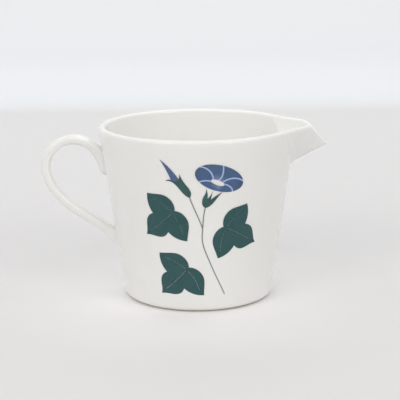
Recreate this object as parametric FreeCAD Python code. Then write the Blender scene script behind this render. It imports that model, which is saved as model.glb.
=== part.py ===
"""Porcelain cream jug: a tapered cup with a beak spout, a loop handle and a printed flower sprig.

Millimetres, +Z up. The origin is the centre of the foot, on the surface that the jug stands on.
The spout points along +X, the handle along -X and the print faces -Y.
"""
import FreeCAD, Part
import math
import os

Vec = FreeCAD.Vector

# --- body -------------------------------------------------------------------------------------
HEIGHT = 71.5            # foot to rim
RIM_RADIUS = 41.0        # outside, at the rim
BASE_RADIUS = 31.1       # outside, where the wall meets the rounded base edge
WALL = 3.0               # wall of the cup
FLOOR = 3.4              # thickness of the floor above the foot recess
BASE_ROUNDING = 2.2      # radius of the outer base edge
FLOOR_ROUNDING = 5.0     # radius inside, between wall and floor
FOOT_INSET = 2.6         # foot ring's outer edge, in from the base radius
FOOT_WIDTH = 2.4         # width of the foot ring
FOOT_HEIGHT = 0.6        # the foot ring stands this far below the rounded base edge
FOOT_RECESS = 1.4        # depth of the recess inside the foot ring
RIM_ROUNDING = 1.2       # radius of the rim's two edges

# --- spout ------------------------------------------------------------------------------------
SPOUT_REACH = 12.6       # tip of the beak beyond the rim radius
SPOUT_DROP = 8.9         # tip of the beak below the rim
SPOUT_DEPTH = 16.4       # root of the keel below the rim
LIP_SLOPE = 1.167        # drop of the cut lip per millimetre of reach
LIP_ROUNDING = 2.0       # radius where the rim turns down into the cut lip
SPOUT_SHOULDER = 24.0    # half width of the beak at the rim where it leaves the cup
SHOULDER_SINK = 0.6      # how fast the beak's flanks sink into the cup behind the shoulder
SPOUT_WAIST = 6.8        # half width of the beak at the rim radius plus WAIST_REACH
WAIST_REACH = 6.0
SPOUT_NOSE = 2.6         # half width of the beak at its tip
LIP_WALL = 1.9           # wall of the beak at its tip
BEAK_SECTIONS = (-0.45, -0.2, 0.0, 0.25, 0.5, 0.75, 1.0, 1.15)   # shares of the way from shoulder to tip
RISE_OVER_RIM = 1.35     # the beak is drawn this many times its depth high, then cut down to the rim

# --- handle -----------------------------------------------------------------------------------
HANDLE_THICKNESS = 4.0   # across the strap, in the plane of the loop
HANDLE_WIDTH = 7.0       # along Y
HANDLE_REACH = 22.0      # middle of the strap beyond the rim radius
HANDLE_TOP = 6.1         # middle of the strap below the rim, at the top of the loop
UPPER_ROOT = 19.0        # middle of the strap's upper end below the rim
LOWER_ROOT = 46.5        # middle of the strap's lower end below the rim
LOWER_FLARE = 1.9        # growth of the strap where its lower end meets the cup
LOWER_FLARE_SHARE = 0.12 # share of the strap's length over which it grows there
UPPER_FLARE = 1.35       # growth of the strap's thickness where its upper end lies on the cup
UPPER_FLARE_SHARE = 0.13
HANDLE_SECTIONS = 26     # steps along the strap

# --- print ------------------------------------------------------------------------------------
FILM = 0.06              # thickness of the fired transfer print
PRINT_ABOVE_FOOT = 7.6   # lowest point of the print
PRINT_BELOW_RIM = 7.5    # highest point of the print
PRINT_DRAWN_LOW = 7.6    # height of the lowest point as the motifs below are drawn
PRINT_DRAWN_TALL = 56.4  # height of the whole print as the motifs below are drawn
LEAF_LENGTH = 16.5       # stalk notch to middle tip
LEAF_DRAWN = 16.5        # length of the leaf as its outline below is drawn
VEIN_WIDTH = 0.10        # unprinted veins in the leaves
STEM_WIDTH = 0.36
BLOOM_LENGTH = 20.0      # long axis of the open flower
BLOOM_WIDTH = 10.4       # short axis of the open flower
STRIPE_WIDTH = 0.55      # pale stripes between the petals

BIG = 200.0              # larger than the jug, for cutting tools
CLOSE = 0.001            # two heights nearer than this are the same

# --- the cup's wall ---------------------------------------------------------------------------
wall_foot_z = FOOT_HEIGHT + BASE_ROUNDING
wall_slope = (RIM_RADIUS - BASE_RADIUS) / (HEIGHT - wall_foot_z)
wall_lean = math.atan(wall_slope)
edge_middle = -(math.pi / 2 + wall_lean) / 2     # middle of the turn from flat bottom to leaning wall


def wall_radius(z):
    """Outside radius of the cup's straight wall at height z."""
    return BASE_RADIUS + wall_slope * (z - wall_foot_z)


def spin(points_and_arcs):
    """Solid of revolution about Z. An item is a corner (r, z), or an arc given by its middle and its end."""
    edges = []
    start = None
    for item in points_and_arcs:
        if isinstance(item[0], tuple):
            middle = Vec(item[0][0], 0, item[0][1])
            end = Vec(item[1][0], 0, item[1][1])
            edges.append(Part.Arc(start, middle, end).toShape())
        else:
            end = Vec(item[0], 0, item[1])
            if start is not None:
                edges.append(Part.makeLine(start, end))
        start = end
    face = Part.Face(Part.Wire(edges))
    return face.revolve(Vec(0, 0, 0), Vec(0, 0, 1), 360)


def arc_point(centre, radius, turn):
    """Point on a circle in the (r, z) plane."""
    return (centre[0] + radius * math.cos(turn), centre[1] + radius * math.sin(turn))


def cup_outside(top):
    """The outside of cup and foot ring as a full solid, with straight wall up to height top."""
    edge_centre = (BASE_RADIUS - BASE_ROUNDING / math.cos(wall_lean), wall_foot_z)
    edge_mid = arc_point(edge_centre, BASE_ROUNDING, edge_middle)
    edge_end = arc_point(edge_centre, BASE_ROUNDING, -wall_lean)
    foot_out = BASE_RADIUS - FOOT_INSET
    foot_in = foot_out - FOOT_WIDTH
    soft = FOOT_HEIGHT / 3
    return spin([
        (0, FOOT_RECESS),
        (foot_in - FOOT_RECESS, FOOT_RECESS),
        ((foot_in - 0.3 * FOOT_RECESS, 0.7 * FOOT_RECESS), (foot_in, 0)),
        (foot_out - soft, 0),
        ((foot_out - 0.3 * soft, 0.3 * soft), (foot_out, soft)),
        (foot_out, FOOT_HEIGHT),
        (edge_centre[0], FOOT_HEIGHT),
        (edge_mid, edge_end),
        (wall_radius(top), top),
        (0, top),
        (0, FOOT_RECESS),
    ])


def cup_inside(top):
    """The hollow of the cup, with straight wall up to height top."""
    floor_top = FOOT_RECESS + FLOOR
    skin = WALL / math.cos(wall_lean)
    inner = wall_radius(floor_top + FLOOR_ROUNDING) - skin
    round_centre = (inner - FLOOR_ROUNDING / math.cos(wall_lean), floor_top + FLOOR_ROUNDING)
    round_mid = arc_point(round_centre, FLOOR_ROUNDING, edge_middle)
    round_end = arc_point(round_centre, FLOOR_ROUNDING, -wall_lean)
    return spin([
        (0, floor_top),
        (round_centre[0], floor_top),
        (round_mid, round_end),
        (wall_radius(top) - skin, top),
        (0, top),
        (0, floor_top),
    ])


# --- spout ------------------------------------------------------------------------------------
tip_x = RIM_RADIUS + SPOUT_REACH
tip_z = HEIGHT - SPOUT_DROP
root_z = HEIGHT - SPOUT_DEPTH
root_x = wall_radius(root_z)
keel_slope = (tip_z - root_z) / (tip_x - root_x)
shoulder_x = math.sqrt(RIM_RADIUS ** 2 - SPOUT_SHOULDER ** 2)
waist_x = RIM_RADIUS + WAIST_REACH


def beak_half_width(x):
    """Half width of the beak at the rim, at distance x from the cup's axis."""
    if x < shoulder_x:
        behind = shoulder_x - x
        return math.sqrt(RIM_RADIUS ** 2 - x ** 2) - behind * SHOULDER_SINK
    if x < waist_x:
        along = (x - shoulder_x) / (waist_x - shoulder_x)
        return SPOUT_SHOULDER + (SPOUT_WAIST - SPOUT_SHOULDER) * along
    along = (x - waist_x) / (tip_x - waist_x)
    return SPOUT_WAIST + (SPOUT_NOSE - SPOUT_WAIST) * along


def beak_wall(x):
    """Wall of the beak at distance x from the cup's axis."""
    along = min(1.0, max(0.0, (x - shoulder_x) / (tip_x - shoulder_x)))
    return WALL + (LIP_WALL - WALL) * along


def beak_section(x, inside):
    """Closed section of the beak across X: a parabola that stands on the keel, closed above the rim."""
    bottom = root_z + (x - root_x) * keel_slope
    half = beak_half_width(x)
    if inside:
        step = 1.0
        narrowing = (beak_half_width(x - step) - beak_half_width(x + step)) / (2 * step)
        bottom += beak_wall(x) * math.hypot(1.0, keel_slope)
        half = max(LIP_WALL / 4, half - beak_wall(x) * math.hypot(1.0, narrowing))
    depth = HEIGHT - bottom
    over = RISE_OVER_RIM
    wide = half * math.sqrt(over)
    top = bottom + depth * over
    curve = Part.BezierCurve()
    curve.setPoles([Vec(x, -wide, top), Vec(x, 0, bottom - depth * over), Vec(x, wide, top)])
    return Part.Wire([curve.toShape(), Part.makeLine(Vec(x, wide, top), Vec(x, -wide, top))])


def beak_solid(inside):
    """The beak's outside, or the channel inside it, run back into the cup and out past the lip."""
    run = tip_x - shoulder_x
    sections = [beak_section(shoulder_x + run * share, inside) for share in BEAK_SECTIONS]
    return Part.makeLoft(sections, True, False)


def lip_cutter():
    """Takes off what stands above the rim and in front of the cut lip, with a rounded turn between them."""
    turn_x = tip_x - SPOUT_DROP / LIP_SLOPE
    lean = math.atan(LIP_SLOPE)
    back_off = LIP_ROUNDING * math.tan(lean / 2)
    a = Vec(-BIG, -BIG / 2, HEIGHT)
    b = Vec(turn_x - back_off, -BIG / 2, HEIGHT)
    c = Vec(turn_x + back_off * math.cos(lean), -BIG / 2, HEIGHT - back_off * math.sin(lean))
    centre = Vec(b.x, b.y, HEIGHT - LIP_ROUNDING)
    middle = centre + Vec(math.sin(lean / 2), 0, math.cos(lean / 2)) * LIP_ROUNDING
    d = Vec(turn_x + BIG, b.y, HEIGHT - BIG * LIP_SLOPE)
    e = Vec(turn_x + BIG, b.y, HEIGHT + BIG)
    f = Vec(-BIG, b.y, HEIGHT + BIG)
    edges = [Part.makeLine(a, b), Part.Arc(b, middle, c).toShape(), Part.makeLine(c, d)]
    edges += [Part.makeLine(d, e), Part.makeLine(e, f), Part.makeLine(f, a)]
    return Part.Face(Part.Wire(edges)).extrude(Vec(0, BIG, 0))


def vessel():
    """Cup and beak as one shell of clay with its rim rounded, before it is divided into its two castings."""
    outside = cup_outside(HEIGHT + WALL).fuse(beak_solid(inside=False))
    inside = cup_inside(HEIGHT + 2 * WALL).fuse(beak_solid(inside=True))
    shell = biggest(outside.cut(inside).cut(lip_cutter()))
    at_rim = [edge for edge in shell.Edges if edge.BoundBox.ZMin > HEIGHT - CLOSE]
    rim = [edge for edge in at_rim if edge.Length > math.pi * RIM_RADIUS]
    return shell.makeFillet(RIM_ROUNDING, rim)


def biggest(shape):
    """The largest solid of a shape that a cut has divided."""
    return max(shape.Solids, key=lambda solid: solid.Volume)


# --- handle -----------------------------------------------------------------------------------
def handle_route():
    """Middle line of the strap in the XZ plane, from the upper end down to the lower root.

    Each point is drawn from the root, the top or the far side of the loop that it belongs to.
    """
    far = -(RIM_RADIUS + HANDLE_REACH)
    top = HEIGHT - HANDLE_TOP
    upper_z = HEIGHT - UPPER_ROOT
    upper = -wall_radius(upper_z)
    lower_z = HEIGHT - LOWER_ROOT
    lower = -wall_radius(lower_z)
    return [
        Vec(upper + 0.53, 0, upper_z),
        Vec(upper - 2.07, 0, upper_z + 6.4),
        Vec(far + 17.4, 0, top - 1.6),
        Vec(far + 12.0, 0, top),
        Vec(far + 6.0, 0, top - 1.4),
        Vec(far + 1.5, 0, top - 5.9),
        Vec(far + 0.1, 0, top - 10.9),
        Vec(far + 1.0, 0, top - 15.9),
        Vec(far + 3.5, 0, top - 20.9),
        Vec(far + 8.5, 0, top - 26.4),
        Vec(far + 15.3, 0, top - 31.4),
        Vec(lower - 7.6, 0, lower_z + 5.2),
        Vec(lower - 2.8, 0, lower_z + 1.7),
        Vec(lower + 2.2, 0, lower_z - 1.6),
    ]


def strap_section(place, along, thickness, width):
    """Oval section of the strap: place is its middle, along the direction of the strap."""
    oval = Part.Ellipse(Vec(0, 0, 0), width / 2, thickness / 2).toShape()
    across = Vec(0, 1, 0)
    normal = along.cross(across)
    turn = FreeCAD.Matrix(
        across.x, normal.x, along.x, place.x,
        across.y, normal.y, along.y, place.y,
        across.z, normal.z, along.z, place.z,
        0, 0, 0, 1)
    return Part.Wire(oval.transformGeometry(turn))


def handle():
    """The loop handle: one oval strap, its ends trimmed to the cup's wall."""
    line = Part.BSplineCurve()
    line.interpolate(handle_route())
    first, last = line.FirstParameter, line.LastParameter
    sections = []
    for step in range(HANDLE_SECTIONS + 1):
        share = step / HANDLE_SECTIONS
        at = first + (last - first) * share
        place = line.value(at)
        along = line.tangent(at)[0]
        lower = max(0.0, 1.0 - (1.0 - share) / LOWER_FLARE_SHARE)
        upper = max(0.0, 1.0 - share / UPPER_FLARE_SHARE)
        flare = 1.0 + (LOWER_FLARE - 1.0) * lower * lower
        lift = 1.0 + (UPPER_FLARE - 1.0) * min(1.0, 2.0 * upper)
        thickness = HANDLE_THICKNESS * flare * lift
        width = HANDLE_WIDTH * math.sqrt(flare)
        sections.append(strap_section(place, along, thickness, width))
    strap = Part.makeLoft(sections, True, False)
    return biggest(strap.cut(cup_outside(HEIGHT)))


# --- print ------------------------------------------------------------------------------------
print_scale = (HEIGHT - PRINT_BELOW_RIM - PRINT_ABOVE_FOOT) / PRINT_DRAWN_TALL


def wrapped(across, drawn_z):
    """Point of the flat print, given along the wall from the middle of the front, seen from the front."""
    z = PRINT_ABOVE_FOOT + (drawn_z - PRINT_DRAWN_LOW) * print_scale
    radius = wall_radius(z)
    return Vec(radius * math.sin(across * print_scale / radius), -BIG, z)


def film_shell():
    """The thin layer that the print fills, on the outside of the cup's wall."""
    low = wall_foot_z + WALL / 2
    high = HEIGHT - WALL
    return spin([
        (wall_radius(low), low),
        (wall_radius(low) + FILM, low),
        (wall_radius(high) + FILM, high),
        (wall_radius(high), high),
        (wall_radius(low), low),
    ])


def film(face):
    """Film under a flat outline: the outline is pushed through the front of the wall."""
    block = face.extrude(Vec(0, BIG, 0))
    return block.common(front_shell)


def smooth_edge(points):
    """A smooth curve through points of the flat print."""
    curve = Part.BSplineCurve()
    curve.interpolate([wrapped(a, z) for a, z in points])
    return curve.toShape()


def outline(*stretches):
    """A face bounded by smooth stretches that meet at corners."""
    return Part.Face(Part.Wire([smooth_edge(points) for points in stretches]))


def ribbon(points, width):
    """A face along a smooth middle line."""
    left, right = [], []
    for i, (a, z) in enumerate(points):
        before = points[max(0, i - 1)]
        after = points[min(len(points) - 1, i + 1)]
        run = math.hypot(after[0] - before[0], after[1] - before[1])
        side = (-(after[1] - before[1]) / run * width / 2, (after[0] - before[0]) / run * width / 2)
        left.append((a + side[0], z + side[1]))
        right.append((a - side[0], z - side[1]))
    right.reverse()
    return outline(left, [left[-1], right[0]], right, [right[-1], left[0]])


def placed(points, at, degrees, flip=1):
    """Points of a motif drawn along its own axis, turned and moved to its place on the print."""
    turn = math.radians(degrees)
    moved = []
    for along, aside in points:
        aside *= flip
        moved.append((
            at[0] + along * math.cos(turn) - aside * math.sin(turn),
            at[1] + along * math.sin(turn) + aside * math.cos(turn),
        ))
    return moved


def leaf(at, degrees):
    """A three-lobed leaf with a notch at its stalk and three unprinted veins."""
    k = LEAF_LENGTH / LEAF_DRAWN
    notch = (0, 0)
    side_tip = (4.4 * k, 12.6 * k)
    side_notch = (7.9 * k, 4.9 * k)
    tip = (LEAF_LENGTH, 0)
    shoulder = [notch, (-1.2 * k, 1.6 * k), (-1.0 * k, 7.2 * k), (2.0 * k, 10.4 * k), side_tip]
    cheek = [side_tip, (6.9 * k, 9.2 * k), side_notch]
    flank = [side_notch, (11.8 * k, 4.6 * k), (14.2 * k, 2.0 * k), tip]
    half = [shoulder, cheek, flank]
    other = [[(a, -b) for a, b in reversed(stretch)] for stretch in reversed(half)]
    face = outline(*[placed(stretch, at, degrees) for stretch in half + other])
    veins = [
        [(1.6 * k, 0), (6.0 * k, 0.25 * k), (13.5 * k, 0)],
        [(1.3 * k, 0.7 * k), (2.1 * k, 5.2 * k), (4.0 * k, 9.8 * k)],
        [(1.3 * k, -0.7 * k), (2.1 * k, -5.2 * k), (4.0 * k, -9.8 * k)],
    ]
    for vein in veins:
        face = face.cut(ribbon(placed(vein, at, degrees), VEIN_WIDTH))
    return film(face)


bloom_middle = (8.6, 56.5)
bloom_tilt = -17.0


def oval_points(middle, length, width, tilt, count=24):
    """Points round an oval of the flat print."""
    points = []
    for step in range(count + 1):
        turn = 2 * math.pi * step / count
        points.append((length / 2 * math.cos(turn), width / 2 * math.sin(turn)))
    return placed(points, middle, tilt)


def oval(middle, length, width, tilt):
    """A face with an oval outline."""
    curve = Part.BSplineCurve()
    points = [wrapped(a, z) for a, z in oval_points(middle, length, width, tilt)[:-1]]
    curve.interpolate(points, PeriodicFlag=True)
    return Part.Face(Part.Wire(curve.toShape()))


def bloom_stripe_lines():
    """Middle lines of the stripes, each curling from the throat to the flower's edge."""
    a = BLOOM_LENGTH / 2
    b = BLOOM_WIDTH / 2
    lines = [
        [(-0.24 * a, -0.26 * b), (-0.38 * a, 0.22 * b), (-0.68 * a, 0.50 * b), (-1.04 * a, 0.34 * b)],
        [(-0.26 * a, -0.40 * b), (-0.48 * a, -0.42 * b), (-0.66 * a, -0.56 * b), (-0.82 * a, -0.80 * b)],
        [(-0.04 * a, -0.20 * b), (0.06 * a, 0.20 * b), (0.05 * a, 0.62 * b), (-0.03 * a, 1.12 * b)],
        [(0.12 * a, -0.32 * b), (0.42 * a, 0.16 * b), (0.72 * a, 0.30 * b), (1.06 * a, 0.12 * b)],
        [(0.12 * a, -0.44 * b), (0.44 * a, -0.40 * b), (0.62 * a, -0.62 * b), (0.64 * a, -1.04 * b)],
    ]
    return [placed(line, bloom_middle, bloom_tilt) for line in lines]


def bloom_parts():
    """The open flower: its blue petals, and the pale stripes between them."""
    whole = oval(bloom_middle, BLOOM_LENGTH, BLOOM_WIDTH, bloom_tilt)
    off_centre = (-0.015 * BLOOM_LENGTH, -0.18 * BLOOM_WIDTH)
    throat_middle = placed([off_centre], bloom_middle, bloom_tilt)[0]
    throat = oval(throat_middle, 0.29 * BLOOM_LENGTH, 0.2 * BLOOM_WIDTH, bloom_tilt - 6)
    petals = whole.cut(throat)
    stripes = []
    for line in bloom_stripe_lines():
        band = ribbon(line, STRIPE_WIDTH)
        petals = petals.cut(band)
        stripes.append(band.common(whole).cut(throat))
    return film(petals), film(Part.Compound(stripes))


calyx_foot = (2.8, 44.6)


def bloom_calyx():
    """The green cup under the open flower, with three sepals."""
    return film(outline(
        [calyx_foot, (1.7, 46.0), (1.8, 48.4), (3.0, 50.8), (3.2, 52.6)],
        [(3.2, 52.6), (3.7, 50.6), (3.7, 48.3)],
        [(3.7, 48.3), (4.7, 49.4), (5.9, 51.6)],
        [(5.9, 51.6), (5.4, 49.8), (5.0, 47.9)],
        [(5.0, 47.9), (7.0, 49.4), (9.8, 50.9)],
        [(9.8, 50.9), (7.2, 48.1), (4.6, 45.4), calyx_foot],
    ))


bud_foot = (-3.2, 48.8)
bud_tip = (-15.0, 64.0)


def bud_petal():
    """The closed flower: a long twisted point."""
    return film(outline(
        [bud_tip, (-12.6, 60.2), (-10.5, 55.9)],
        [(-10.5, 55.9), (-9.2, 55.5), (-7.5, 56.4)],
        [(-7.5, 56.4), (-9.4, 58.9), (-12.0, 61.6), bud_tip],
    ))


def bud_calyx():
    """The green cup under the closed flower, with two sepals that curl away from it."""
    return film(outline(
        [bud_foot, (-6.3, 51.2), (-8.6, 53.9), (-10.2, 55.1), (-12.7, 55.5)],
        [(-12.7, 55.5), (-11.6, 56.0), (-10.5, 55.9)],
        [(-10.5, 55.9), (-9.2, 55.5), (-7.5, 56.4)],
        [(-7.5, 56.4), (-7.2, 57.3), (-7.1, 58.6)],
        [(-7.1, 58.6), (-6.5, 56.9), (-4.6, 54.0), (-2.7, 50.9), bud_foot],
    ))


fork = (1.7, 36.1)
stem_end = (10.4, PRINT_DRAWN_LOW)


def stems():
    """The thin stalks: one to the open flower, one to the bud, and the main one down to its cut end."""
    main_line = [calyx_foot, (2.1, 41.0), fork, (1.5, 31.5), (3.4, 24.5), (6.8, 16.0), stem_end]
    branch_line = [bud_foot, (-1.2, 43.6), (0.6, 39.2), fork]
    main = ribbon(main_line, STEM_WIDTH)
    branch = ribbon(branch_line, STEM_WIDTH)
    return film(main).fuse(film(branch)).removeSplitter()


def write(name, shape):
    """One STEP file for one named piece."""
    if not shape.isValid():
        raise ValueError(name + " is not a valid shape")
    shape.exportStep(os.path.join("parts", name + ".step"))
    box = shape.BoundBox
    print(name, len(shape.Solids), "solids", round(shape.Volume, 3), "mm3",
          [round(v, 2) for v in (box.XMin, box.XMax, box.YMin, box.YMax, box.ZMin, box.ZMax)])


os.makedirs("parts", exist_ok=True)
front_half = Part.makeBox(BIG, BIG / 2, BIG, Vec(-BIG / 2, -BIG / 2, 0))
front_shell = film_shell().common(front_half)
petal_film, stripe_film = bloom_parts()
whole_vessel = vessel()
cup_bounds = cup_outside(HEIGHT + WALL)
write("jug_body", biggest(whole_vessel.common(cup_bounds)))
write("pouring_spout", biggest(whole_vessel.cut(cup_bounds)))
write("handle", handle())
write("leaf_left", leaf((-9.3, 43.2), 221))
write("leaf_lower", leaf((-3.9, 19.6), 226))
write("leaf_right", leaf((10.1, 36.4), -30))
write("bloom_petals", petal_film)
write("bloom_stripes", stripe_film)
write("bloom_calyx", bloom_calyx())
write("bud_petal", bud_petal())
write("bud_calyx", bud_calyx())
write("stem", stems())
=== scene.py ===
"""Porcelain cream jug: glazed cup, beak spout, strap handle and flower print, on a pale table.

Metres, +Z up, origin at the centre of the foot. The spout points along +X and the print faces -Y.
The clay is worked out in millimetres and brought to metres as each piece is finished.
"""
import math

import bmesh
import bpy
from mathutils import Matrix, Vector


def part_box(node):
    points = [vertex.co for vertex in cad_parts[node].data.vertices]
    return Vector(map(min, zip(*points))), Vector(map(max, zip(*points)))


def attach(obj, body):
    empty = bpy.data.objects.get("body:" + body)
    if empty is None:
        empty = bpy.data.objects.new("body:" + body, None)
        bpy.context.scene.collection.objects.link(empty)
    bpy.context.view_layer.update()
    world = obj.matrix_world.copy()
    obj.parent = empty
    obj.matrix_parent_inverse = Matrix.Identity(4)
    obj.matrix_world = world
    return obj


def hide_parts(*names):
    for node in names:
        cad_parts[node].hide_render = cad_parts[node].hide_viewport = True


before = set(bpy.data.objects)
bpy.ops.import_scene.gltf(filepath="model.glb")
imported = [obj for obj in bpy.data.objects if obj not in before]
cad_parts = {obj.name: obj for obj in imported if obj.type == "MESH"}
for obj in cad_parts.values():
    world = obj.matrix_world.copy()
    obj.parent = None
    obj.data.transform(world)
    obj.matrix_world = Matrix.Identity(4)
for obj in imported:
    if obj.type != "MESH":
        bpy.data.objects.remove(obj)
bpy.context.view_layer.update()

bl_info = {
    "name": "Sprigged Cream Jug",
    "version": (1, 0, 0),
    "blender": (4, 5, 0),
    "location": "3D View > Sidebar > Cream Jug",
    "description": "Builds a glazed cream jug with a beak spout, a strap handle and a flower print",
    "category": "Object",
}

MM = 0.001
ACROSS_STEPS = 40        # steps across the beak
EDGE_STEPS = 7           # steps over the beak's rounded edge
STRAP_STEPS = 32         # steps round the strap
LINE_STEPS = 8           # steps along the strap between two points of its line
WALL_STEPS = 30          # steps up the cup's wall, outside and inside

# --- how the beak is drawn, in millimetres ------------------------------------------------------
BEHIND_SPREAD = 0.9      # behind its shoulders the beak widens by this per unit of length
EASE_REACH = 1.6         # the turns of its half width are eased this far to either side
TURN_SOFT = 1.0          # and the lip's turn this far
LEAST_HALF = 0.35        # it is never narrower than this to either side of its middle
LEAST_ROOM = 0.05        # and never thinner than this
EDGE_SHARE = 0.36        # most of its height, as a share, that the rounded edge may take
EDGE_CLEAR = 1.1         # the channel stays this many edge radii inside the beak's outside
SEARCH_BACK = 8.0        # its root is looked for from this far behind its shoulders
SEARCH_ROUNDS = 40       # by halving the way to the tip this often
TIP_ROUND = 0.75         # its last full loop stops this far short of its tip
# then the beak is rounded off: share of that loop's size, and distance past it
TIP_LOOPS = ((0.86, 0.25), (0.62, 0.45), (0.30, 0.58))
SOFT_TIP = 3.0           # it is smoothed over this much of its tip
SOFT_ROUNDS = 5          # this often

# --- how the clay pieces run into each other, in millimetres ------------------------------------
NOTCH_DEPTH = 12.0       # the cup's wall is drawn down from this far under the beak's root
NOTCH_REACH = 20.0       # only clay this far from the axis, on the spout's side, is drawn down
NOTCH_ROUNDS = 6         # rounds of finding the height at which wall and channel meet
LIP_OVER_WALL = 0.02     # the channel's clay stands this far over the wall that was drawn down
WALL_FALL = 1.1          # the drawn-down wall falls this much from the cup's inside to its outside
OVER_BRIM = 2.0          # beside the beak the channel counts as this far over the brim
RIM_BLEND = 1.5          # the rounded rim goes flat as it is lowered by this much
ROOT_BACK = 3.0          # the beak's first loop runs this far back in the rim
ROOT_SINK = 0.10         # and this far down, twice as far in the rim
ROOT_CLEAR = 0.12        # and keeps this far inside both faces of the wall
SLIP_REACH = 2.2         # slip is wiped over the beak's join this many fillet radii forward
LOWER_GROWS = 0.12       # the strap grows over this share of its length at its lower root
UPPER_GROWS = 0.13       # and over this share at its upper end
# the strap's buried end is rounded too: share of its first loop's size, and distance behind it
END_LOOPS = ((0.28, 1.75), (0.60, 1.50), (0.84, 0.90))
HOLDING_ROW = 0.15       # a row of the cup's inside this far under the rim keeps its shading clean

PRINT_NODES = (
    "leaf_left", "leaf_lower", "leaf_right", "bloom_petals", "bloom_stripes",
    "bloom_calyx", "bud_petal", "bud_calyx", "stem",
)
jug_height = (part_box("jug_body")[1].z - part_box("jug_body")[0].z) / MM
rim_half = -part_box("jug_body")[0].y / MM


# --- settings -----------------------------------------------------------------------------------
def amount(name, description, default, low=0.0):
    """A length in millimetres, or another plain amount, that the panel shows."""
    return bpy.props.FloatProperty(
        name=name, description=description, default=default, min=low, unit="NONE")


def colour(name, description, default):
    """A colour that the panel shows."""
    return bpy.props.FloatVectorProperty(
        name=name, description=description, default=default, size=3, subtype="COLOR", min=0.0, max=1.0)


class JugCupSettings(bpy.types.PropertyGroup):
    """Sizes of the cup, in millimetres."""
    height: amount("Height", "Foot to rim, mm", jug_height, 1.0)
    rim_radius: amount("Rim radius", "Outside radius at the rim, mm", rim_half, 1.0)
    base_radius: amount("Base radius", "Outside radius above the rounded base edge, mm", 31.1, 1.0)
    wall: amount("Wall", "Thickness of the wall, mm", 3.0, 0.1)
    floor: amount("Floor", "Thickness of the floor above the foot recess, mm", 3.4, 0.1)
    base_rounding: amount("Base edge", "Radius of the outer base edge, mm", 2.2, 0.1)
    floor_rounding: amount("Floor corner", "Radius between wall and floor, mm", 5.0, 0.1)
    foot_inset: amount("Foot inset", "Foot ring's edge in from the base radius, mm", 2.6)
    foot_width: amount("Foot width", "Width of the foot ring, mm", 2.4, 0.1)
    foot_height: amount("Foot height", "Height of the foot ring, mm", 0.6)
    foot_recess: amount("Foot recess", "Depth of the recess inside the ring, mm", 1.4)
    turns: bpy.props.IntProperty(
        name="Turning steps", description="Steps round the cup", default=288, min=24)


class JugBeakSettings(bpy.types.PropertyGroup):
    """Sizes of the beak spout, in millimetres."""
    reach: amount("Reach", "Tip beyond the rim radius, mm", 12.6, 0.1)
    drop: amount("Tip drop", "Tip below the rim, mm", 8.9, 0.1)
    depth: amount("Root depth", "Root of the keel below the rim, mm", 16.4, 0.1)
    lip_slope: amount("Lip slope", "Drop of the cut lip per unit of reach", 1.167, 0.1)
    shoulder: amount("Shoulder", "Half width at the rim where the beak leaves the cup, mm", 24.0, 0.1)
    waist: amount("Waist", "Half width near the front of the beak, mm", 6.8, 0.1)
    waist_reach: amount("Waist reach", "Waist beyond the rim radius, mm", 6.0, 0.1)
    nose: amount("Nose", "Half width at the tip, mm", 2.6, 0.1)
    lip_wall: amount("Lip wall", "Thickness of the wall at the tip, mm", 1.9, 0.1)
    fillet: amount("Root fillet", "How far the slip spreads over the join, mm", 1.0)


class JugHandleSettings(bpy.types.PropertyGroup):
    """Sizes of the strap handle, in millimetres."""
    thickness: amount("Thickness", "Across the strap, in the plane of the loop, mm", 4.0, 0.1)
    width: amount("Width", "Width of the strap, mm", 7.0, 0.1)
    reach: amount("Reach", "Middle of the strap beyond the rim radius, mm", 22.0, 0.1)
    top: amount("Top", "Middle of the strap below the rim, mm", 6.1, 0.1)
    upper_root: amount("Upper root", "Middle of the strap's upper end below the rim, mm", 19.0, 0.1)
    lower_root: amount("Lower root", "Middle of the strap's lower end below the rim, mm", 46.5, 0.1)
    lower_flare: amount("Lower flare", "Growth of the strap at its lower root", 1.9, 1.0)
    upper_flare: amount("Upper flare", "Growth of the strap's thickness at its upper end", 1.35, 1.0)


class JugGlazeSettings(bpy.types.PropertyGroup):
    """Colours of the porcelain."""
    glaze: colour("Glaze", "Glazed porcelain", (0.842, 0.834, 0.806))
    # Painted light: the inside of the cup and the channel is painted in this paler colour.
    painted_light_inside: colour("Painted light inside", "Paler where the glaze lies thicker inside", (0.895, 0.888, 0.856))
    bare: colour("Bare clay", "Unglazed clay on the foot ring", (0.640, 0.590, 0.520))
    gloss: bpy.props.FloatProperty(
        name="Roughness", description="Roughness of the glaze",
        default=0.14, min=0.0, max=1.0, subtype="FACTOR")


class JugPrintSettings(bpy.types.PropertyGroup):
    """Colours of the fired print."""
    leaf: colour("Leaf", "Teal green of the leaves", (0.012, 0.070, 0.073))
    calyx: colour("Calyx", "Dark green of the flower cups", (0.017, 0.058, 0.055))
    stem: colour("Stem", "Grey green of the stalks", (0.150, 0.205, 0.175))
    petal: colour("Petal", "Slate blue of the open flower", (0.052, 0.108, 0.222))
    throat: colour("Throat", "Pale lilac near the flower's throat", (0.200, 0.260, 0.430))
    stripe: colour("Stripe", "Pale blue between the petals", (0.400, 0.470, 0.740))
    bud: colour("Bud", "Blue violet of the closed flower", (0.057, 0.096, 0.205))


class JugStudioSettings(bpy.types.PropertyGroup):
    """The table, the light and the camera."""
    table: colour("Table", "Pale table top", (0.736, 0.721, 0.714))
    backdrop: colour("Backdrop", "Pale paper behind the table", (0.862, 0.882, 0.898))
    # Painted light: the table is painted this many times paler round the jug's foot.
    foot_painted_light: amount("Foot glow", "How many times paler the table is at the jug's foot", 1.28, 1.0)
    sky: amount("Sky", "Strength of the even light", 0.66)
    key: amount("Key", "Power of each softbox, W", 0.75)
    window: amount("Window", "Power of each side light, W", 3.3)
    back: amount("Back", "Power of the backdrop light, W", 2.4)
    lens: amount("Lens", "Focal length on a 36 mm sensor, mm", 115.9, 1.0)


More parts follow.
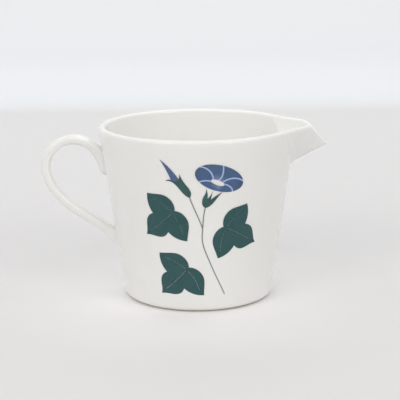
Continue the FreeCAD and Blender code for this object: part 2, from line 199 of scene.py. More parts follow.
# --- mesh helpers -------------------------------------------------------------------------------
def new_piece(name, bm, smooth_angle=40.0):
    """A mesh object at the origin from a bmesh held in millimetres, shaded smooth up to an angle."""
    bmesh.ops.scale(bm, vec=(MM, MM, MM), verts=bm.verts)
    for face in bm.faces:
        face.smooth = True
    limit = math.radians(smooth_angle)
    for edge in bm.edges:
        edge.smooth = not (len(edge.link_faces) == 2 and edge.calc_face_angle(0.0) > limit)
    mesh = bpy.data.meshes.new(name)
    bm.to_mesh(mesh)
    bm.free()
    piece = bpy.data.objects.new(name, mesh)
    bpy.context.scene.collection.objects.link(piece)
    return piece


def draw_loop(bm, points):
    """A closed loop of edges through points."""
    verts = [bm.verts.new(point) for point in points]
    for here, there in zip(verts, verts[1:] + verts[:1]):
        bm.edges.new((here, there))
    return verts


def carry_loop(bm, verts, points):
    """Extrudes a closed loop and sets the new one on points, in the same order."""
    ring = [bm.edges.get((here, there)) for here, there in zip(verts, verts[1:] + verts[:1])]
    made = set(bmesh.ops.extrude_edge_only(bm, edges=ring)["geom"])
    carried = []
    for vert, point in zip(verts, points):
        new = next(edge.other_vert(vert) for edge in vert.link_edges if edge.other_vert(vert) in made)
        new.co = point
        carried.append(new)
    return carried


def close_and_turn_out(bm):
    """Merges doubles, fills what is open and points every face outwards."""
    bmesh.ops.remove_doubles(bm, verts=bm.verts, dist=1e-5)
    bmesh.ops.holes_fill(bm, edges=[e for e in bm.edges if e.is_boundary], sides=0)
    bmesh.ops.recalc_face_normals(bm, faces=bm.faces)


def ease(share):
    """Smooth step from 0 to 1."""
    share = min(1.0, max(0.0, share))
    return share * share * (3 - 2 * share)


# --- shape of the clay --------------------------------------------------------------------------
class Clay:
    """The jug's lines, in millimetres, read from the settings."""

    def __init__(self, scene):
        self.cup = scene.jug_cup
        self.beak = scene.jug_beak
        cup, beak = self.cup, self.beak
        self.wall_foot = cup.foot_height + cup.base_rounding
        self.slope = (cup.rim_radius - cup.base_radius) / (cup.height - self.wall_foot)
        self.lean = math.atan(self.slope)
        self.skin = cup.wall / math.cos(self.lean)
        self.tip_x = cup.rim_radius + beak.reach
        self.tip_z = cup.height - beak.drop
        self.root_z = cup.height - beak.depth
        self.root_x = self.outside(self.root_z)
        self.keel_slope = (self.tip_z - self.root_z) / (self.tip_x - self.root_x)
        self.shoulder_x = math.sqrt(cup.rim_radius ** 2 - beak.shoulder ** 2)
        self.waist_x = cup.rim_radius + beak.waist_reach
        self.turn_x = self.tip_x - beak.drop / beak.lip_slope

    def outside(self, z):
        """Outside radius of the cup at height z."""
        return self.cup.base_radius + self.slope * (z - self.wall_foot)

    def inside(self, z):
        """Inside radius of the cup at height z."""
        return self.outside(z) - self.skin

    def half_width(self, x):
        """Half width of the beak at the rim."""
        beak = self.beak
        if x < self.shoulder_x:
            return beak.shoulder + (self.shoulder_x - x) * BEHIND_SPREAD
        if x < self.waist_x:
            share = (x - self.shoulder_x) / (self.waist_x - self.shoulder_x)
            return beak.shoulder + (beak.waist - beak.shoulder) * share
        share = (x - self.waist_x) / (self.tip_x - self.waist_x)
        return beak.waist + (beak.nose - beak.waist) * share

    def soft_half_width(self, x):
        """Half width of the beak with its turns eased."""
        places = [x + EASE_REACH * step for step in (-1.0, -0.5, 0.0, 0.5, 1.0)]
        return sum(self.half_width(place) for place in places) / len(places)

    def beak_wall(self, x):
        """Thickness of the beak's wall."""
        share = min(1.0, max(0.0, (x - self.shoulder_x) / (self.tip_x - self.shoulder_x)))
        return self.cup.wall + (self.beak.lip_wall - self.cup.wall) * share

    def keel(self, x, inner):
        """Height of the keel outside, or of the channel's floor."""
        bottom = self.root_z + (x - self.root_x) * self.keel_slope
        if inner:
            bottom += self.beak_wall(x) * math.hypot(1.0, self.keel_slope)
        return bottom

    def flank(self, x, inner):
        """Half width at the rim outside, or of the channel."""
        half = self.soft_half_width(x)
        if inner:
            narrowing = (self.soft_half_width(x - 1) - self.soft_half_width(x + 1)) / 2
            half -= self.beak_wall(x) * math.hypot(1.0, narrowing)
        return max(LEAST_HALF, half)

    def lip_turn(self, x):
        """Angle of the top edge: level along the rim, and the slope of the lip in front of its turn."""
        return math.atan(self.beak.lip_slope) * ease((x - self.turn_x + TURN_SOFT) / (2 * TURN_SOFT))

    def top(self, x):
        """Height of the top edge, with its turn eased."""
        past = x - self.turn_x
        if past > TURN_SOFT:
            fall = past
        elif past > -TURN_SOFT:
            fall = (past + TURN_SOFT) ** 2 / (4 * TURN_SOFT)
        else:
            fall = 0.0
        return self.cup.height - fall * self.beak.lip_slope

    def edge_round(self, x):
        """Radius of the rounded top edge of the beak."""
        return min(self.beak_wall(x) / 2, EDGE_SHARE * (self.top(x) - self.keel(x, False)))

    def outer_half(self, x, z):
        """Half width of the beak's outside at height z."""
        low = self.keel(x, False)
        return self.flank(x, False) * math.sqrt(max(0.0, (z - low) / (self.cup.height - low)))

    def beak_point(self, x, q, inner):
        """Point on the beak's outside or in its channel: q is -1 to 1 across it, 0 on the keel."""
        low = self.keel(x, inner)
        full = max(LEAST_ROOM, self.cup.height - low)
        edge = self.edge_round(x)
        brim = self.top(x) - edge / math.cos(self.lip_turn(x))
        if inner and brim <= low:
            room = max(LEAST_ROOM, self.outer_half(x, brim) - edge)
            return Vector((x, room * q, brim + 0.2 * edge))
        share = math.sqrt(max(0.0, min(1.0, (brim - low) / full)))
        across = self.flank(x, inner) * q * share
        if inner:
            widest = self.outer_half(x, brim) - EDGE_CLEAR * edge
            across = max(-widest, min(widest, across))
        return Vector((x, across, low + full * (q * share) ** 2))

    def root(self, q, inner):
        """Where a line of the beak at q starts, on the cup's outside or inside."""
        near, far = self.shoulder_x - SEARCH_BACK, self.tip_x
        for _ in range(SEARCH_ROUNDS):
            middle = (near + far) / 2
            point = self.beak_point(middle, q, inner)
            radius = self.inside(point.z) if inner else self.outside(point.z)
            if math.hypot(point.x, point.y) < radius:
                near = middle
            else:
                far = middle
        return (near + far) / 2

    def channel_height(self, x, y):
        """Height of the channel's surface over a point of the plan, or well above the rim outside it."""
        half = self.flank(x, True)
        low = self.keel(x, True)
        return low + (self.cup.height - low) * (y / half) ** 2


def arc(centre, radii, first, last, steps):
    """Points of a profile round part of a circle or an oval, without the point it starts from."""
    points = []
    for step in range(1, steps + 1):
        turn = first + (last - first) * step / steps
        points.append((centre[0] + radii[0] * math.cos(turn), centre[1] + radii[1] * math.sin(turn)))
    return points


def cup_profile(clay):
    """Profile of the cup, from the middle of the recess under it, over the rim, to mid-floor."""
    cup = clay.cup
    down, level = -math.pi / 2, 0.0
    foot_out = cup.base_radius - cup.foot_inset
    foot_in = foot_out - cup.foot_width
    recess = cup.foot_recess
    soft = cup.foot_height / 3
    points = [(r, recess) for r in (0.0, 6.0, 12.0, 18.0, foot_in - recess - 0.6, foot_in - recess)]
    points += arc((foot_in - recess, 0.0), (recess, recess), -down, level, 6)
    points += [(foot_in + 0.4, 0.0), (foot_out - soft, 0.0)]
    points += [(foot_out - 0.3 * soft, 0.3 * soft), (foot_out, soft), (foot_out, cup.foot_height)]

    edge = cup.base_rounding
    edge_r = cup.base_radius - edge / math.cos(clay.lean)
    points.append((edge_r, cup.foot_height))
    points += arc((edge_r, clay.wall_foot), (edge, edge), down, -clay.lean, 8)
    brim = cup.height - cup.wall / 2
    start = clay.wall_foot - edge * math.sin(clay.lean)
    for step in range(1, WALL_STEPS + 1):
        z = start + (brim - start) * step / WALL_STEPS
        points.append((clay.outside(z), z))

    outer, inner = clay.outside(brim), clay.inside(brim)
    points += arc(((outer + inner) / 2, brim), ((outer - inner) / 2, cup.wall / 2), level, math.pi, 12)
    corner = cup.floor_rounding
    floor_top = recess + cup.floor
    corner_z = floor_top + corner
    corner_r = clay.inside(corner_z) - corner / math.cos(clay.lean)
    low = corner_z - corner * math.sin(clay.lean)
    points.append((clay.inside(brim - HOLDING_ROW), brim - HOLDING_ROW))
    for step in range(1, WALL_STEPS + 1):
        z = brim + (low - brim) * step / WALL_STEPS
        points.append((clay.inside(z), z))
    points += arc((corner_r, corner_z), (corner, corner), -clay.lean, down, 10)
    points += [(corner_r * share, floor_top) for share in (0.75, 0.5, 0.25, 0.0)]
    return points


def between(clay, z, share):
    """Radius in the cup's wall at height z: share is 0 on its inside and 1 on its outside."""
    return clay.inside(z) + (clay.outside(z) - clay.inside(z)) * share


def meeting_height(clay, turn, share, brim):
    """Height at which the cup's wall stops under the beak's channel."""
    height = brim
    for _ in range(NOTCH_ROUNDS):
        radius = between(clay, height, share)
        surface = clay.channel_height(radius * math.cos(turn), radius * math.sin(turn))
        height = min(brim + OVER_BRIM, surface - LIP_OVER_WALL - WALL_FALL * share)
    return height


def notch_cup(bm, clay):
    """Lowers the cup's rim under the beak's channel, so that the wall ends inside the beak's clay."""
    brim = clay.cup.height - clay.cup.wall / 2
    still = clay.root_z - NOTCH_DEPTH
    for vert in bm.verts:
        radius = math.hypot(vert.co.x, vert.co.y)
        if vert.co.z < still or vert.co.x < NOTCH_REACH:
            continue
        turn = math.atan2(vert.co.y, vert.co.x)
        outer, inner = clay.outside(vert.co.z), clay.inside(vert.co.z)
        share = min(1.0, max(0.0, (radius - inner) / (outer - inner)))
        top = meeting_height(clay, turn, share, brim)
        if vert.co.z <= brim + 1e-6:
            z = still + (vert.co.z - still) * (min(brim, top) - still) / (brim - still)
            radius = clay.outside(z) if share > 0.5 else clay.inside(z)
        else:
            z = min(vert.co.z, top)
            flat = min(1.0, (vert.co.z - z) / RIM_BLEND)
            radius += (between(clay, z, share) - radius) * flat
        vert.co = (radius * math.cos(turn), radius * math.sin(turn), z)


def spread_slip(clay, point, q, past):
    """Widens the beak's outside at its root, as slip does when it is wiped over the join."""
    gone = max(0.0, 1 - past / (SLIP_REACH * clay.beak.fillet))
    spread = clay.beak.fillet * gone * gone * (1 - 0.85 * q ** 6)
    point.z -= spread * (1 - abs(q) * 0.4)
    point.y += math.copysign(spread * abs(q) * 0.8, q)


def bury(clay, point, q):
    """Sinks a point of the beak's first loop into the cup's wall, further back near the rim."""
    near_rim = abs(q) ** 8
    turn = math.atan2(point.y, point.x)
    turn += math.copysign(ROOT_BACK * near_rim / clay.cup.rim_radius, q)
    z = point.z - ROOT_SINK - ROOT_SINK * near_rim
    radius = math.hypot(point.x, point.y)
    radius = min(clay.outside(z) - ROOT_CLEAR, max(clay.inside(z) + ROOT_CLEAR, radius))
    return Vector((radius * math.cos(turn), radius * math.sin(turn), z))


def beak_side(clay, share, inner):
    """Line across the beak's outside or its channel, at a share of the way from its root to its tip."""
    line = []
    for step in range(ACROSS_STEPS + 1):
        q = 2 * step / ACROSS_STEPS - 1
        start = clay.root(q, inner) - (LIP_OVER_WALL if inner else 0.0)
        x = start + (clay.tip_x - TIP_ROUND - start) * share
        point = clay.beak_point(x, q, inner)
        if not inner:
            spread_slip(clay, point, q, x - start)
        if share == 0.0:
            point = bury(clay, point, q)
        line.append(point)
    return line


def beak_edge(clay, out, into):
    """Points over the rounded top edge, from the beak's outside to its channel."""
    middle = (out + into) / 2
    half = (out - into) / 2
    tilt = clay.lip_turn(middle.x)
    up = Vector((math.sin(tilt), 0, math.cos(tilt))) * clay.edge_round(middle.x)
    turns = [math.pi * step / EDGE_STEPS for step in range(1, EDGE_STEPS)]
    return [middle + half * math.cos(turn) + up * math.sin(turn) for turn in turns]


def beak_loop(clay, share):
    """One closed loop round the beak's clay: its outside, an edge, its channel and the other edge."""
    outside = beak_side(clay, share, inner=False)
    channel = beak_side(clay, share, inner=True)
    far_edge = beak_edge(clay, outside[-1], channel[-1])
    near_edge = beak_edge(clay, outside[0], channel[0])
    return outside + far_edge + channel[::-1] + near_edge[::-1]


def seam_loop(loop):
    """The same loop closed on itself: each point meets its partner across the clay's thickness."""
    near_edge = len(loop) - EDGE_STEPS + 1
    partners = list(reversed(range(near_edge))) + list(reversed(range(near_edge, len(loop))))
    return [(point + loop[partner]) / 2 for point, partner in zip(loop, partners)]


def keep_in_wall(bm, clay):
    """Draws the buried ends of the strap back, so that they stop half way through the cup's wall."""
    for vert in bm.verts:
        radius = math.hypot(vert.co.x, vert.co.y)
        least = clay.outside(vert.co.z) - clay.cup.wall / 2
        if radius < least:
            vert.co.x *= least / radius
            vert.co.y *= least / radius


def handle_line(clay, strap):
    """Middle line of the strap, from its upper end down to its lower root.

    Each point is drawn from the root, the top or the far side of the loop that it belongs to.
    """
    far = -(clay.cup.rim_radius + strap.reach)
    top = clay.cup.height - strap.top
    upper_z = clay.cup.height - strap.upper_root
    upper = -clay.outside(upper_z)
    lower_z = clay.cup.height - strap.lower_root
    lower = -clay.outside(lower_z)
    line = [
        (upper + 0.5293, upper_z),
        (upper - 2.0707, upper_z + 6.4),
        (far + 17.4, top - 1.6),
        (far + 12.0, top),
        (far + 6.0, top - 1.4),
        (far + 1.5, top - 5.9),
        (far + 0.1, top - 10.9),
        (far + 1.0, top - 15.9),
        (far + 3.5, top - 20.9),
        (far + 8.5, top - 26.4),
        (far + 15.3, top - 31.4),
        (lower - 7.6, lower_z + 5.2),
        (lower - 2.8, lower_z + 1.7),
        (lower + 2.2, lower_z - 1.6),
    ]
    return [Vector((x, 0, z)) for x, z in line]


def smooth_line(points, per_span):
    """Points along a smooth curve through all the given points."""
    padded = [points[0] * 2 - points[1], *points, points[-1] * 2 - points[-2]]
    line = []
    for a, b, c, d in zip(padded, padded[1:], padded[2:], padded[3:]):
        for step in range(per_span):
            t = step / per_span
            line.append(0.5 * ((2 * b) + (c - a) * t + (2 * a - 5 * b + 4 * c - d) * t * t
                               + (3 * b - 3 * c + d - a) * t ** 3))
    line.append(points[-1].copy())
    return line


def strap_loop(place, along, thickness, width):
    """Oval loop of the strap, flatter on its inner and outer faces than a plain ellipse."""
    side = Vector((0, 1, 0))
    out = along.cross(side)
    fullness = 0.72
    loop = []
    for step in range(STRAP_STEPS):
        turn = 2 * math.pi * step / STRAP_STEPS
        across = math.copysign(abs(math.cos(turn)) ** fullness, math.cos(turn))
        away = math.copysign(abs(math.sin(turn)) ** fullness, math.sin(turn))
        loop.append(place + side * (width / 2 * across) + out * (thickness / 2 * away))
    return loop


def strap_size(strap, share):
    """Thickness and width of the strap at a share of its length, grown where it joins the cup."""
    lower = max(0.0, 1 - (1 - share) / LOWER_GROWS)
    upper = max(0.0, 1 - share / UPPER_GROWS)
    grown = 1 + (strap.lower_flare - 1) * lower * lower
    lift = 1 + (strap.upper_flare - 1) * ease(2 * upper)
    return strap.thickness * grown * lift, strap.width * math.sqrt(grown)


# --- finishes, in metres ------------------------------------------------------------------------
GLASS_IOR = 1.5
GLAZE_LINE = (0.00018, 0.00042)             # bare clay below, glaze above
BLOOM_THROAT = (0.0077, -0.0378, 0.0548)    # middle of the open flower's throat, on the cup's wall
FOOT_PAINTED_LIGHT_MIDDLE = (-0.004, -0.010, 0.0)    # painted light: the table is painted palest round this point
FOOT_PAINTED_LIGHT_REACH = (0.030, 0.095)            # and falls back to its own colour between these radii
TABLE_PAINTED_LIGHT_BACK = (0.12, 0.42)                # painted light: the table is painted a little paler between these distances back
PAPER_STARTS = (0.470, 0.510)               # and gives way to the paper between these
PAPER_PAINTED_SHADE_HEIGHTS = (0.006, 0.050)                # painted shade: the paper is painted a shade darker low down and pales between these heights


def new_material(name):
    """A material, its tree, its Principled shader and a node of Object coordinates."""
    material = bpy.data.materials.new(name)
    material.use_nodes = True
    tree = material.node_tree
    shader = tree.nodes["Principled BSDF"]
    where = tree.nodes.new("ShaderNodeTexCoord")
    return material, tree, shader, where


def noise(tree, where, scale, detail=2.0):
    """Noise on Object coordinates; scale is in features per metre."""
    node = tree.nodes.new("ShaderNodeTexNoise")
    node.inputs["Scale"].default_value = scale
    node.inputs["Detail"].default_value = detail
    tree.links.new(where.outputs["Object"], node.inputs["Vector"])
    return node.outputs["Fac"]


def spread(tree, value, low, high, to_low=0.0, to_high=1.0):
    """Maps a value from one range to another, held at both ends."""
    node = tree.nodes.new("ShaderNodeMapRange")
    node.inputs["From Min"].default_value = low
    node.inputs["From Max"].default_value = high
    node.inputs["To Min"].default_value = to_low
    node.inputs["To Max"].default_value = to_high
    tree.links.new(value, node.inputs["Value"])
    return node.outputs["Result"]


def mix(tree, factor, first, second):
    """Mixes two colours, each a value or a socket."""
    node = tree.nodes.new("ShaderNodeMix")
    node.data_type = "RGBA"
    tree.links.new(factor, node.inputs["Factor"])
    for socket, value in ((node.inputs[6], first), (node.inputs[7], second)):
        if isinstance(value, bpy.types.NodeSocket):
            tree.links.new(value, socket)
        else:
            socket.default_value = (*value, 1.0)
    return node.outputs[2]


def bump(tree, shader, height, strength, distance):
    """Joins a height to the shader's normal."""
    node = tree.nodes.new("ShaderNodeBump")
    node.inputs["Strength"].default_value = strength
    node.inputs["Distance"].default_value = distance
    tree.links.new(height, node.inputs["Height"])
    tree.links.new(node.outputs["Normal"], shader.inputs["Normal"])


def tinted(base, gain):
    """A colour made lighter or darker."""
    return tuple(min(1.0, channel * gain) for channel in base)


def vector_math(tree, operation, first, second=None):
    """A Vector Math node: first is a socket, second a socket or a fixed vector; returns the node."""
    node = tree.nodes.new("ShaderNodeVectorMath")
    node.operation = operation
    tree.links.new(first, node.inputs[0])
    if isinstance(second, bpy.types.NodeSocket):
        tree.links.new(second, node.inputs[1])
    elif second is not None:
        node.inputs[1].default_value = second
    return node


def number_math(tree, operation, first, second):
    """The result of a Math node: first is a socket, second a socket or a fixed number."""
    node = tree.nodes.new("ShaderNodeMath")
    node.operation = operation
    tree.links.new(first, node.inputs[0])
    if isinstance(second, bpy.types.NodeSocket):
        tree.links.new(second, node.inputs[1])
    else:
        node.inputs[1].default_value = second
    return node.outputs[0]


def split_axes(tree, where):
    """The X, Y and Z of Object coordinates, as the outputs of one node."""
    axes = tree.nodes.new("ShaderNodeSeparateXYZ")
    tree.links.new(where.outputs["Object"], axes.inputs["Vector"])
    return axes.outputs


def facing_in(tree, where):
    """Mask of the painted light inside: one where the clay faces the jug's axis, inside the cup and the
    channel, and nought outside.
    """
    flat = vector_math(tree, "MULTIPLY", where.outputs["Object"], (1.0, 1.0, 0.0))
    outward = vector_math(tree, "NORMALIZE", flat.outputs["Vector"])
    face = tree.nodes.new("ShaderNodeNewGeometry")
    agree = vector_math(tree, "DOT_PRODUCT", outward.outputs["Vector"], face.outputs["Normal"])
    return spread(tree, agree.outputs["Value"], 0.05, -0.20)


def porcelain(glaze):
    """Clear glaze over warm white porcelain, painted paler inside as painted light, with bare clay on
    the foot ring.
    """
    name = "Glazed porcelain"
    if name in bpy.data.materials:
        return bpy.data.materials[name]
    material, tree, shader, where = new_material(name)
    height = split_axes(tree, where)["Z"]
    clouds = spread(tree, noise(tree, where, 45.0, 3.0), 0.35, 0.65)
    body = mix(tree, clouds, tinted(glaze.glaze, 0.985), tinted(glaze.glaze, 1.01))
    # Painted light: clay facing the jug's axis is painted paler.
    painted_light_inside = mix(tree, facing_in(tree, where), body, glaze.painted_light_inside)
    specks = spread(tree, noise(tree, where, 1500.0, 0.0), 0.80, 0.84)
    speckled = mix(tree, specks, painted_light_inside, tinted(glaze.glaze, 0.93))
    glazed = spread(tree, height, *GLAZE_LINE)
    grain = spread(tree, noise(tree, where, 2600.0, 3.0), 0.3, 0.7)
    clay = mix(tree, grain, tinted(glaze.bare, 0.9), tinted(glaze.bare, 1.08))
    tree.links.new(mix(tree, glazed, clay, speckled), shader.inputs["Base Color"])
    tree.links.new(spread(tree, height, *GLAZE_LINE, 0.75, glaze.gloss), shader.inputs["Roughness"])
    shader.inputs["IOR"].default_value = GLASS_IOR
    shader.inputs["Coat Weight"].default_value = 0.25
    shader.inputs["Coat Roughness"].default_value = 0.05
    bump(tree, shader, noise(tree, where, 260.0, 2.0), 0.10, 0.00012)
    return material


def fire(shader, glaze):
    """Gives an ink a little less gloss than the glaze round it."""
    shader.inputs["Roughness"].default_value = glaze.gloss + 0.10
    shader.inputs["IOR"].default_value = GLASS_IOR


def ink(name, base, glaze, light=1.18, dark=0.84):
    """Fired print under the same gloss: a screened colour with a soft mottle."""
    material, tree, shader, where = new_material(name)
    clouds = spread(tree, noise(tree, where, 210.0, 3.0), 0.32, 0.68)
    wash = mix(tree, clouds, tinted(base, dark), tinted(base, light))
    screen = tree.nodes.new("ShaderNodeTexVoronoi")
    screen.inputs["Scale"].default_value = 3600.0
    tree.links.new(where.outputs["Object"], screen.inputs["Vector"])
    dots = spread(tree, screen.outputs["Distance"], 0.15, 0.75)
    tree.links.new(mix(tree, dots, wash, tinted(base, 0.93 * light)), shader.inputs["Base Color"])
    fire(shader, glaze)
    bump(tree, shader, screen.outputs["Distance"], 0.12, 0.00003)
    return material


def petal_ink(colours, glaze):
    """Slate blue that pales towards the flower's throat and deepens at its edge."""
    material, tree, shader, where = new_material("Petal ink")
    away = vector_math(tree, "DISTANCE", where.outputs["Object"], BLOOM_THROAT).outputs["Value"]
    wobble = spread(tree, noise(tree, where, 420.0, 2.0), 0.3, 0.7, -0.0007, 0.0007)
    reach = number_math(tree, "ADD", away, wobble)
    flower = mix(tree, spread(tree, reach, 0.0008, 0.0032), colours.throat, colours.petal)
    rim = spread(tree, reach, 0.0072, 0.0102)
    tree.links.new(mix(tree, rim, flower, tinted(colours.petal, 0.80)), shader.inputs["Base Color"])
    fire(shader, glaze)
    bump(tree, shader, noise(tree, where, 3000.0, 2.0), 0.10, 0.00003)
    return material


def painted_light_at_foot(tree, where):
    """Mask of the painted light at the foot: one at the jug's foot, falling softly to nought on the open
    table.
    """
    away = vector_math(tree, "DISTANCE", where.outputs["Object"], FOOT_PAINTED_LIGHT_MIDDLE)
    fall = spread(tree, away.outputs["Value"], *FOOT_PAINTED_LIGHT_REACH, 1.0, 0.0)
    return number_math(tree, "POWER", fall, 2.0)


def pale_table(studio):
    """Matt pale table top with painted light at the jug's foot and towards the back, that gives way to
    paper painted a shade darker low in its bend.
    """
    material, tree, shader, where = new_material("Pale table")
    axes = split_axes(tree, where)
    clouds = noise(tree, where, 60.0, 4.0)
    grain = mix(tree, clouds, tinted(studio.table, 0.99), tinted(studio.table, 1.01))
    # Painted light: the table is painted a little paler towards the back.
    table_painted_paler_back = mix(tree, spread(tree, axes["Y"], *TABLE_PAINTED_LIGHT_BACK), grain, tinted(studio.table, 1.05))
    # Painted light: a pool of light painted on the table round the jug's foot.
    table_with_painted_light = mix(tree, painted_light_at_foot(tree, where), table_painted_paler_back, tinted(studio.table, studio.foot_painted_light))
    # Painted shade: the paper is painted a shade darker low in its bend.
    paper_shade_fades = spread(tree, axes["Z"], *PAPER_PAINTED_SHADE_HEIGHTS)
    paper = mix(tree, paper_shade_fades, tinted(studio.backdrop, 0.955), studio.backdrop)
    far = spread(tree, axes["Y"], *PAPER_STARTS)
    tree.links.new(mix(tree, far, table_with_painted_light, paper), shader.inputs["Base Color"])
    shader.inputs["Roughness"].default_value = 0.62
    shader.inputs["Specular IOR Level"].default_value = 0.25
    return material


# --- stage --------------------------------------------------------------------------------------
# The table's mesh is in millimetres, as the clay is. Lights and camera are in metres and radians.
TABLE_FRONT = -1600.0
TABLE_HALF = 2400.0
BEND_START = 490.0       # the table turns up into the backdrop from here
BEND_RADIUS = 40.0
BACKDROP_TOP = 2400.0
WARM = (1.0, 0.985, 0.965)
WHITE = (1.0, 1.0, 1.0)
JUG_MIDDLE = (0.0, 0.0, 0.04)
PAPER_MIDDLE = (0.0, 0.53, 0.22)
CAMERA_PLACE = (0.0, -0.5225, 0.1610)
CAMERA_DIP = 0.2290      # below the level
CAMERA_YAW = -0.0016
CAMERA_ROLL = -0.0092


def lay_table(studio):
    """A table top that turns up softly into the backdrop far behind the jug."""
    bm = bmesh.new()
    front = [bm.verts.new((x, TABLE_FRONT, 0.0)) for x in (-TABLE_HALF, TABLE_HALF)]
    edges = [bm.edges.new(front)]
    line = [(BEND_START - 60.0, 0.0), (BEND_START, 0.0)]
    line += arc((BEND_START, BEND_RADIUS), (BEND_RADIUS, BEND_RADIUS), -math.pi / 2, 0.0, 9)
    line += [(BEND_START + BEND_RADIUS, BACKDROP_TOP)]
    for y, z in line:
        made = bmesh.ops.extrude_edge_only(bm, edges=edges)["geom"]
        verts = [v for v in made if isinstance(v, bmesh.types.BMVert)]
        for vert in verts:
            vert.co = (vert.co.x, y, z)
        edges = [e for e in made if isinstance(e, bmesh.types.BMEdge) and set(e.verts) == set(verts)]
    table = new_piece("studio_table", bm, 60.0)
    table.data.materials.append(pale_table(studio))


def hang_light(name, place, aim, size, power, tint):
    """A softbox turned towards a point."""
    data = bpy.data.lights.new(name, "AREA")
    data.shape = "RECTANGLE"
    data.size, data.size_y = size
    data.energy = power
    data.color = tint
    light = bpy.data.objects.new(name, data)
    light.location = place
    light.rotation_euler = (Vector(aim) - Vector(place)).to_track_quat("-Z", "Y").to_euler()
    bpy.context.scene.collection.objects.link(light)


def set_camera(scene, lens):
    """The camera, in front of the print and a little above the rim."""
    data = bpy.data.cameras.new("Jug camera")
    data.lens = lens
    data.sensor_width = 36.0
    data.clip_start = 0.01
    data.clip_end = 20.0
    camera = bpy.data.objects.new("Jug camera", data)
    aim = Matrix.Rotation(CAMERA_YAW, 4, "Z") @ Matrix.Rotation(math.pi / 2 - CAMERA_DIP, 4, "X")
    roll = Matrix.Rotation(CAMERA_ROLL, 4, "Z")
    camera.matrix_world = Matrix.Translation(CAMERA_PLACE) @ aim @ roll
    scene.collection.objects.link(camera)
    scene.camera = camera


# --- operators ----------------------------------------------------------------------------------
class JUG_OT_cup(bpy.types.Operator):
    """Turn the tapered cup with its foot ring and rounded rim"""
    bl_idname = "jug.cup"
    bl_label = "Turn the cup"

    def execute(self, context):
        clay = Clay(context.scene)
        bm = bmesh.new()
        verts = [bm.verts.new((r, 0, z)) for r, z in cup_profile(clay)]
        edges = [bm.edges.new(pair) for pair in zip(verts, verts[1:])]
        bmesh.ops.spin(bm, geom=verts + edges, cent=(0, 0, 0), axis=(0, 0, 1), angle=2 * math.pi,
                       steps=clay.cup.turns, use_merge=True)
        close_and_turn_out(bm)
        notch_cup(bm, clay)
        cup = new_piece("glazed_cup", bm)
        cup.data.materials.append(porcelain(context.scene.jug_glaze))
        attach(cup, "root")
        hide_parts("jug_body")
        return {"FINISHED"}


class JUG_OT_beak(bpy.types.Operator):
    """Draw the beak spout out of the cup's wall"""
    bl_idname = "jug.beak"
    bl_label = "Draw the beak"

    def execute(self, context):
        clay = Clay(context.scene)
        bm = bmesh.new()
        near_root = [0.0, 0.02, 0.045, 0.08, 0.12]
        shares = near_root + [0.16 + 0.84 * step / 40 for step in range(41)]
        loop = draw_loop(bm, seam_loop(beak_loop(clay, shares[0])))
        for share in shares:
            loop = carry_loop(bm, loop, beak_loop(clay, share))
        points = [vert.co.copy() for vert in loop]
        middle = sum(points, Vector()) / len(points)
        for scale, past in TIP_LOOPS:
            ahead = middle + Vector((past, 0, 0))
            loop = carry_loop(bm, loop, [ahead + (point - middle) * scale for point in points])
        close_and_turn_out(bm)
        for _ in range(SOFT_ROUNDS):
            tip = [vert for vert in bm.verts if vert.co.x > clay.tip_x - SOFT_TIP]
            bmesh.ops.smooth_vert(
                bm, verts=tip, factor=0.5, use_axis_x=True, use_axis_y=True, use_axis_z=True)
        beak = new_piece("beak_spout", bm)
        beak.data.materials.append(porcelain(context.scene.jug_glaze))
        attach(beak, "root")
        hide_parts("pouring_spout")
        return {"FINISHED"}


class JUG_OT_handle(bpy.types.Operator):
    """Pull the strap handle and lute its two ends to the cup"""
    bl_idname = "jug.handle"
    bl_label = "Pull the handle"

    def execute(self, context):
        clay = Clay(context.scene)
        strap = context.scene.jug_handle
        line = smooth_line(handle_line(clay, strap), LINE_STEPS)
        last = len(line) - 1
        along = (line[1] - line[0]).normalized()
        thickness, width = strap_size(strap, 0.0)
        rounded_end = [
            strap_loop(line[0] - along * back, along, thickness * scale, width * scale)
            for scale, back in END_LOOPS
        ]
        bm = bmesh.new()
        loop = draw_loop(bm, rounded_end[0])
        for points in rounded_end[1:]:
            loop = carry_loop(bm, loop, points)
        for number, place in enumerate(line):
            along = (line[min(last, number + 1)] - line[max(0, number - 1)]).normalized()
            loop = carry_loop(bm, loop, strap_loop(place, along, *strap_size(strap, number / last)))
        keep_in_wall(bm, clay)
        close_and_turn_out(bm)
        handle = new_piece("strap_handle", bm)
        handle.data.materials.append(porcelain(context.scene.jug_glaze))
        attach(handle, "root")
        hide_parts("handle")
        return {"FINISHED"}


class JUG_OT_print(bpy.types.Operator):
    """Fire the flower print on the front of the cup"""
    bl_idname = "jug.print"
    bl_label = "Fire the print"

    def execute(self, context):
        colours = context.scene.jug_print
        glaze = context.scene.jug_glaze
        leaf = ink("Leaf ink", colours.leaf, glaze)
        calyx = ink("Calyx ink", colours.calyx, glaze, light=1.7, dark=0.8)
        inks = {
            "leaf_left": leaf, "leaf_lower": leaf, "leaf_right": leaf,
            "bloom_petals": petal_ink(colours, glaze),
            "bloom_stripes": ink("Stripe ink", colours.stripe, glaze, light=1.06, dark=0.95),
            "bloom_calyx": calyx, "bud_calyx": calyx,
            "bud_petal": ink("Bud ink", colours.bud, glaze, light=1.35, dark=0.8),
            "stem": ink("Stem ink", colours.stem, glaze),
        }
        for node in PRINT_NODES:
            bm = bmesh.new()
            bm.from_mesh(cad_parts[node].data)
            bmesh.ops.scale(bm, vec=(1 / MM, 1 / MM, 1 / MM), verts=bm.verts)
            bmesh.ops.remove_doubles(bm, verts=bm.verts, dist=1e-4)
            printed = new_piece("print_" + node, bm, 30.0)
            printed.data.materials.append(inks[node])
            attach(printed, "root")
            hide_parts(node)
        return {"FINISHED"}


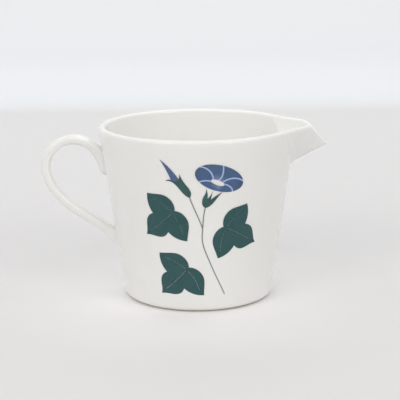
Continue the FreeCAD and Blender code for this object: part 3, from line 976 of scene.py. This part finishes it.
class JUG_OT_studio(bpy.types.Operator):
    """Set up the pale table, the soft light and the camera"""
    bl_idname = "jug.studio"
    bl_label = "Set up the studio"

    def execute(self, context):
        studio = context.scene.jug_studio
        lay_table(studio)
        window, key, back = studio.window, studio.key, studio.back
        hang_light("Window left", (-0.80, -0.95, 0.78), JUG_MIDDLE, (0.5, 0.5), window, WARM)
        hang_light("Window right", (0.85, -0.95, 0.82), JUG_MIDDLE, (0.5, 0.5), window * 0.85, WARM)
        hang_light("Softbox left", (-0.20, -1.00, 1.05), JUG_MIDDLE, (0.24, 0.42), key, WARM)
        hang_light("Softbox right", (0.17, -1.00, 1.05), JUG_MIDDLE, (0.18, 0.42), key * 0.9, WARM)
        hang_light("Backdrop light", (0.0, 0.12, 0.95), PAPER_MIDDLE, (1.6, 0.35), back, WHITE)
        world = bpy.data.worlds.new("Even light")
        context.scene.world = world
        world.use_nodes = True
        sky = world.node_tree.nodes["Background"]
        sky.inputs["Color"].default_value = (0.985, 0.99, 1.0, 1.0)
        sky.inputs["Strength"].default_value = studio.sky
        set_camera(context.scene, studio.lens)
        context.scene.view_settings.view_transform = "Standard"
        return {"FINISHED"}


# --- panel --------------------------------------------------------------------------------------
class JUG_PT_panel(bpy.types.Panel):
    """Sizes, colours and pieces of the cream jug"""
    bl_idname = "JUG_PT_panel"
    bl_label = "Cream Jug"
    bl_space_type = "VIEW_3D"
    bl_region_type = "UI"
    bl_category = "Cream Jug"

    def draw(self, context):
        layout = self.layout
        for title, group in (("Cup", context.scene.jug_cup), ("Beak", context.scene.jug_beak),
                             ("Handle", context.scene.jug_handle), ("Glaze", context.scene.jug_glaze),
                             ("Print", context.scene.jug_print), ("Studio", context.scene.jug_studio)):
            box = layout.box()
            box.label(text=title)
            for name in group.__annotations__:
                box.prop(group, name)
        for operator in OPERATORS:
            layout.operator(operator.bl_idname)


GROUPS = {
    "jug_cup": JugCupSettings, "jug_beak": JugBeakSettings, "jug_handle": JugHandleSettings,
    "jug_glaze": JugGlazeSettings, "jug_print": JugPrintSettings, "jug_studio": JugStudioSettings,
}
OPERATORS = (JUG_OT_cup, JUG_OT_beak, JUG_OT_handle, JUG_OT_print, JUG_OT_studio)


def register():
    """Registers the settings, the operators and the panel."""
    for name, group in GROUPS.items():
        bpy.utils.register_class(group)
        setattr(bpy.types.Scene, name, bpy.props.PointerProperty(type=group))
    for operator in OPERATORS:
        bpy.utils.register_class(operator)
    bpy.utils.register_class(JUG_PT_panel)


def unregister():
    """Removes the panel, the operators and the settings."""
    bpy.utils.unregister_class(JUG_PT_panel)
    for operator in reversed(OPERATORS):
        bpy.utils.unregister_class(operator)
    for name, group in reversed(list(GROUPS.items())):
        delattr(bpy.types.Scene, name)
        bpy.utils.unregister_class(group)


def main():
    """Builds the jug and its studio."""
    register()
    bpy.ops.jug.cup()
    bpy.ops.jug.beak()
    bpy.ops.jug.handle()
    bpy.ops.jug.print()
    bpy.ops.jug.studio()


if __name__ == "__main__":
    main()
